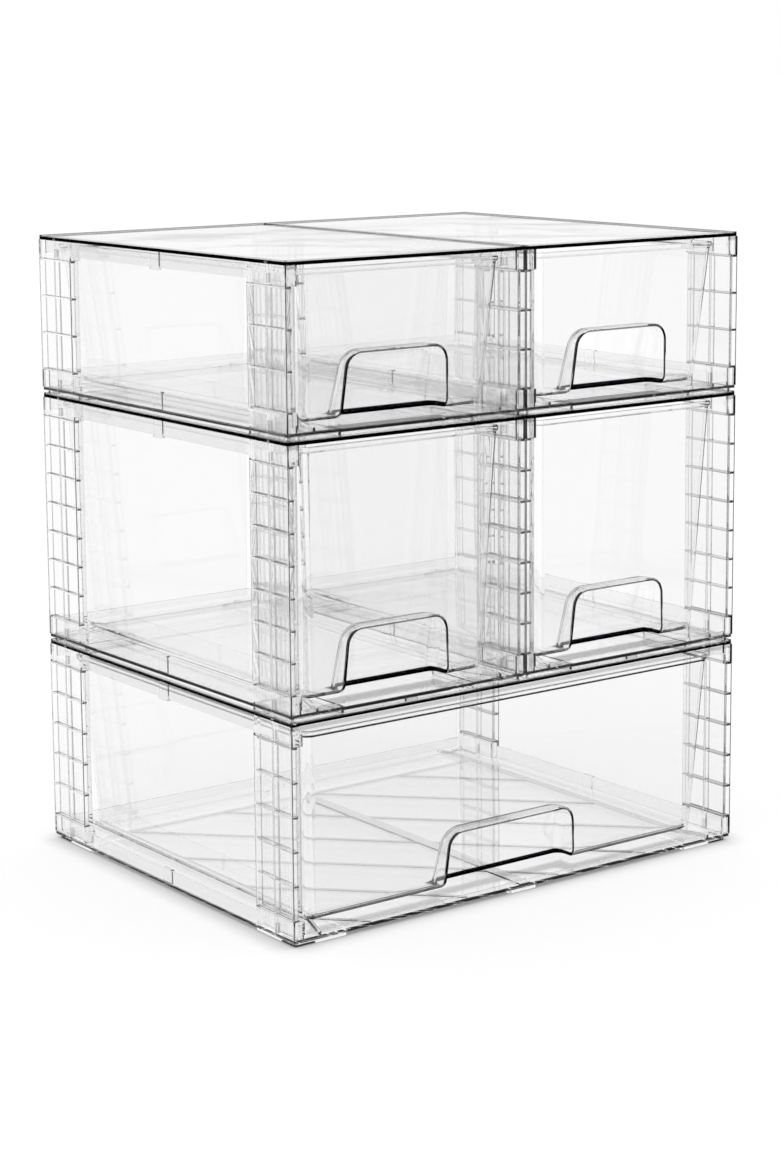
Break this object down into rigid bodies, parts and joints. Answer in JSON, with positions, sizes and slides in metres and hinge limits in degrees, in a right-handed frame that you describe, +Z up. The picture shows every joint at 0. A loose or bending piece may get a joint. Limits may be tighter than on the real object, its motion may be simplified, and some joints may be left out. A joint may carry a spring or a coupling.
{
  "type": "stackable drawer organizer",
  "caption": "Clear moulded boxes with pull-out drawers, stacked on each other: each has a base, a cover, ribbed corner posts and a tub drawer with a recessed finger pull.",
  "frame": {"origin": "centre of the footprint, on the surface that the feet stand on", "axes": "+Z up, +X to the right of someone facing the drawers, +Y to the rear, so the drawers open towards -Y"},
  "size_m": [0.42, 0.338, 0.483],
  "materials": {
    "clear_case": "clear, polished",
    "clear_post": "clear, polished",
    "clear_drawer": "clear, polished"
  },
  "bodies": {
    "wide_case": {"wide_base": "clear_case", "wide_cover": "clear_case", "wide_post_front_left": "clear_post", "wide_post_front_right": "clear_post", "wide_post_rear_left": "clear_post", "wide_post_rear_right": "clear_post"},
    "wide_tub": {"wide_drawer": "clear_drawer"},
    "medium_left_case": {"medium_left_base": "clear_case", "medium_left_cover": "clear_case", "medium_left_post_front_left": "clear_post", "medium_left_post_front_right": "clear_post", "medium_left_post_rear_left": "clear_post", "medium_left_post_rear_right": "clear_post"},
    "medium_left_tub": {"medium_left_drawer": "clear_drawer"},
    "medium_right_case": {"medium_right_base": "clear_case", "medium_right_cover": "clear_case", "medium_right_post_front_left": "clear_post", "medium_right_post_front_right": "clear_post", "medium_right_post_rear_left": "clear_post", "medium_right_post_rear_right": "clear_post"},
    "medium_right_tub": {"medium_right_drawer": "clear_drawer"},
    "small_left_case": {"small_left_base": "clear_case", "small_left_cover": "clear_case", "small_left_post_front_left": "clear_post", "small_left_post_front_right": "clear_post", "small_left_post_rear_left": "clear_post", "small_left_post_rear_right": "clear_post"},
    "small_left_tub": {"small_left_drawer": "clear_drawer"},
    "small_right_case": {"small_right_base": "clear_case", "small_right_cover": "clear_case", "small_right_post_front_left": "clear_post", "small_right_post_front_right": "clear_post", "small_right_post_rear_left": "clear_post", "small_right_post_rear_right": "clear_post"},
    "small_right_tub": {"small_right_drawer": "clear_drawer"}
  },
  "joints": [
    {"name": "wide_drawer_slide", "type": "slide", "parent": "wide_case", "child": "wide_tub", "axis": [0, -1, 0], "range_m": [0, 0.25]},
    {"name": "medium_left_lift", "type": "slide", "parent": "wide_case", "child": "medium_left_case", "axis": [0, 0, 1], "range_m": [0, 0.05]},
    {"name": "medium_left_drawer_slide", "type": "slide", "parent": "medium_left_case", "child": "medium_left_tub", "axis": [0, -1, 0], "range_m": [0, 0.25]},
    {"name": "medium_right_lift", "type": "slide", "parent": "wide_case", "child": "medium_right_case", "axis": [0, 0, 1], "range_m": [0, 0.05]},
    {"name": "medium_right_drawer_slide", "type": "slide", "parent": "medium_right_case", "child": "medium_right_tub", "axis": [0, -1, 0], "range_m": [0, 0.25]},
    {"name": "small_left_lift", "type": "slide", "parent": "medium_left_case", "child": "small_left_case", "axis": [0, 0, 1], "range_m": [0, 0.05]},
    {"name": "small_left_drawer_slide", "type": "slide", "parent": "small_left_case", "child": "small_left_tub", "axis": [0, -1, 0], "range_m": [0, 0.25]},
    {"name": "small_right_lift", "type": "slide", "parent": "medium_right_case", "child": "small_right_case", "axis": [0, 0, 1], "range_m": [0, 0.05]},
    {"name": "small_right_drawer_slide", "type": "slide", "parent": "small_right_case", "child": "small_right_tub", "axis": [0, -1, 0], "range_m": [0, 0.25]}
  ]
}
